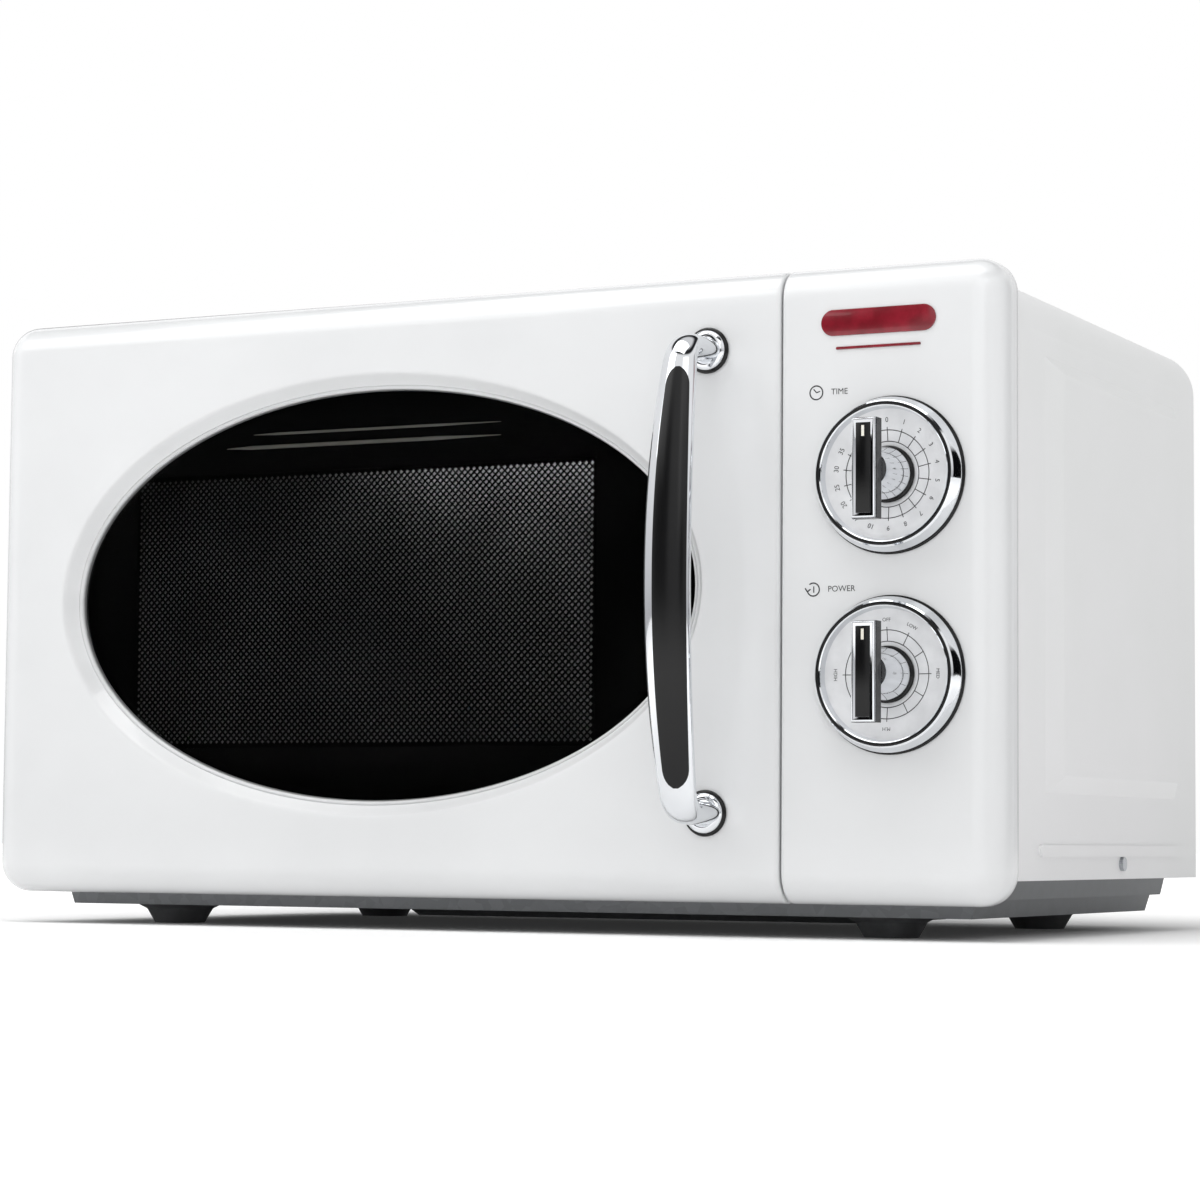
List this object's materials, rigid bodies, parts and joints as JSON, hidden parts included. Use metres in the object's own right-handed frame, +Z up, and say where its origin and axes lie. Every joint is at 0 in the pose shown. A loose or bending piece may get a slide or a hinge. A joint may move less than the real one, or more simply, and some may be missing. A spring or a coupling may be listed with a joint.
{
  "type": "microwave oven",
  "caption": "Countertop microwave oven with a side-hung door, oval window, bowed chrome bar handle and turning dials beside it.",
  "frame": {"origin": "middle of the bounding box on the surface that the feet stand on", "axes": "+Z up, the door and dials face -Y, +X is the dials' side"},
  "size_m": [0.452, 0.3397, 0.254],
  "materials": {
    "white_lacquer": "gloss white paint over moulded plastic",
    "white_coat": "white powder-coated sheet steel",
    "smoked_glass": "dark tinted pane",
    "black_enamel": "black enamelled perforated steel",
    "clear_film": "clear film",
    "black_moulding": "black moulded plastic",
    "grey_rubber": "dark grey moulded feet",
    "chrome": "bright plated",
    "silver_print": "silver printed dial",
    "galvanised": "zinc-coated sheet steel",
    "grey_enamel": "grey enamelled steel",
    "natural_plastic": "uncoloured moulded plastic",
    "steel": "plain steel",
    "mica": "mica sheet",
    "tray_glass": "clear moulded glass",
    "core_iron": "laminated iron",
    "copper_wire": "enamelled copper wire",
    "copper_fins": "pressed fins",
    "board": "circuit board"
  },
  "bodies": {
    "cabinet": {"hinge_brackets": "galvanised", "hinge_screws": "steel", "front_plate": "galvanised", "control_panel": "white_lacquer", "time_dial_plate": "silver_print", "time_bezel": "chrome", "power_dial_plate": "silver_print", "power_bezel": "chrome", "timer": "natural_plastic", "power_selector": "natural_plastic", "cabinet_wrapper": "white_coat", "base_pan": "galvanised", "rear_panel": "galvanised", "cord_gland": "grey_rubber", "cabinet_screws": "steel", "feet": "grey_rubber", "cavity": "grey_enamel", "waveguide_cover": "mica", "turntable_motor": "steel", "waveguide": "galvanised", "magnetron_yoke": "galvanised", "magnetron_tube": "copper_fins", "transformer_core": "core_iron", "transformer_windings": "copper_wire", "hv_capacitor": "steel", "hv_diode": "board", "fan_shroud": "black_moulding", "fan_motor": "steel", "lamp_holder": "galvanised", "lamp_bulb": "tray_glass", "cavity_thermostat": "steel", "interlock_holder": "natural_plastic", "interlock_switches": "black_moulding", "filter_board": "board"},
    "door": {"door_outer_frame": "white_lacquer", "window_glass": "smoked_glass", "door_inner_panel": "black_enamel", "door_film": "clear_film", "choke_cover": "black_moulding", "handle": "chrome", "handle_insert": "black_moulding", "handle_screws": "steel", "hinge_pins": "steel", "latch_spring": "steel"},
    "latch": {"latch_hook": "natural_plastic"},
    "time_knob": {"time_knob": "chrome", "time_knob_insert": "black_moulding", "time_shaft": "steel"},
    "power_knob": {"power_knob": "chrome", "power_knob_insert": "black_moulding", "power_shaft": "steel"},
    "turntable": {"turntable_shaft": "steel", "turntable_coupler": "natural_plastic"},
    "tray": {"glass_tray": "tray_glass"},
    "roller_ring": {"roller_ring": "natural_plastic"},
    "roller_1": {"roller_1": "natural_plastic"},
    "roller_2": {"roller_2": "natural_plastic"},
    "roller_3": {"roller_3": "natural_plastic"},
    "fan": {"fan_shaft": "steel", "fan_blade": "black_moulding"}
  },
  "joints": [
    {"name": "door_swing", "type": "hinge", "parent": "cabinet", "child": "door", "pos_m": [-0.22, -0.1182, 0.1335], "axis": [0, 0, -1], "range_deg": [0, 100]},
    {"name": "latch_slide", "type": "slide", "parent": "door", "child": "latch", "axis": [0, 0, 1], "range_m": [0, 0.004], "stiffness_N_per_m": 200, "springref_m": -0.004, "deforming": ["latch_spring"]},
    {"name": "time_knob_turn", "type": "hinge", "parent": "cabinet", "child": "time_knob", "pos_m": [0.182, -0.1297, 0.173], "axis": [0, 1, 0], "range_deg": [0, 297]},
    {"name": "power_knob_turn", "type": "hinge", "parent": "cabinet", "child": "power_knob", "pos_m": [0.182, -0.1297, 0.0985], "axis": [0, 1, 0], "range_deg": [0, 270]},
    {"name": "turntable_turn", "type": "hinge", "parent": "cabinet", "child": "turntable", "pos_m": [-0.0445, 0.023, 0.039], "axis": [0, 0, 1], "continuous": true},
    {"name": "tray_lift", "type": "slide", "parent": "turntable", "child": "tray", "axis": [0, 0, 1], "range_m": [0, 0.02]},
    {"name": "roller_ring_turn", "type": "hinge", "parent": "cabinet", "child": "roller_ring", "pos_m": [-0.0445, 0.023, 0.04585], "axis": [0, 0, 1], "continuous": true},
    {"name": "roller_1_spin", "type": "hinge", "parent": "roller_ring", "child": "roller_1", "pos_m": [0.0492, 0.023, 0.04585], "axis": [1, 0, 0], "continuous": true},
    {"name": "roller_2_spin", "type": "hinge", "parent": "roller_ring", "child": "roller_2", "pos_m": [-0.09135, 0.10415, 0.04585], "axis": [-0.5, 0.866, 0], "continuous": true},
    {"name": "roller_3_spin", "type": "hinge", "parent": "roller_ring", "child": "roller_3", "pos_m": [-0.09135, -0.05815, 0.04585], "axis": [-0.5, -0.866, 0], "continuous": true},
    {"name": "fan_spin", "type": "hinge", "parent": "cabinet", "child": "fan", "pos_m": [0.1643, 0.0707, 0.1907], "axis": [0, 1, 0], "continuous": true}
  ],
  "couplings": [
    {"joint": "roller_ring_turn", "follows": "turntable_turn", "ratio": 0.5},
    {"joint": "roller_1_spin", "follows": "turntable_turn", "ratio": -7.2077},
    {"joint": "roller_2_spin", "follows": "turntable_turn", "ratio": -7.2077},
    {"joint": "roller_3_spin", "follows": "turntable_turn", "ratio": -7.2077}
  ]
}
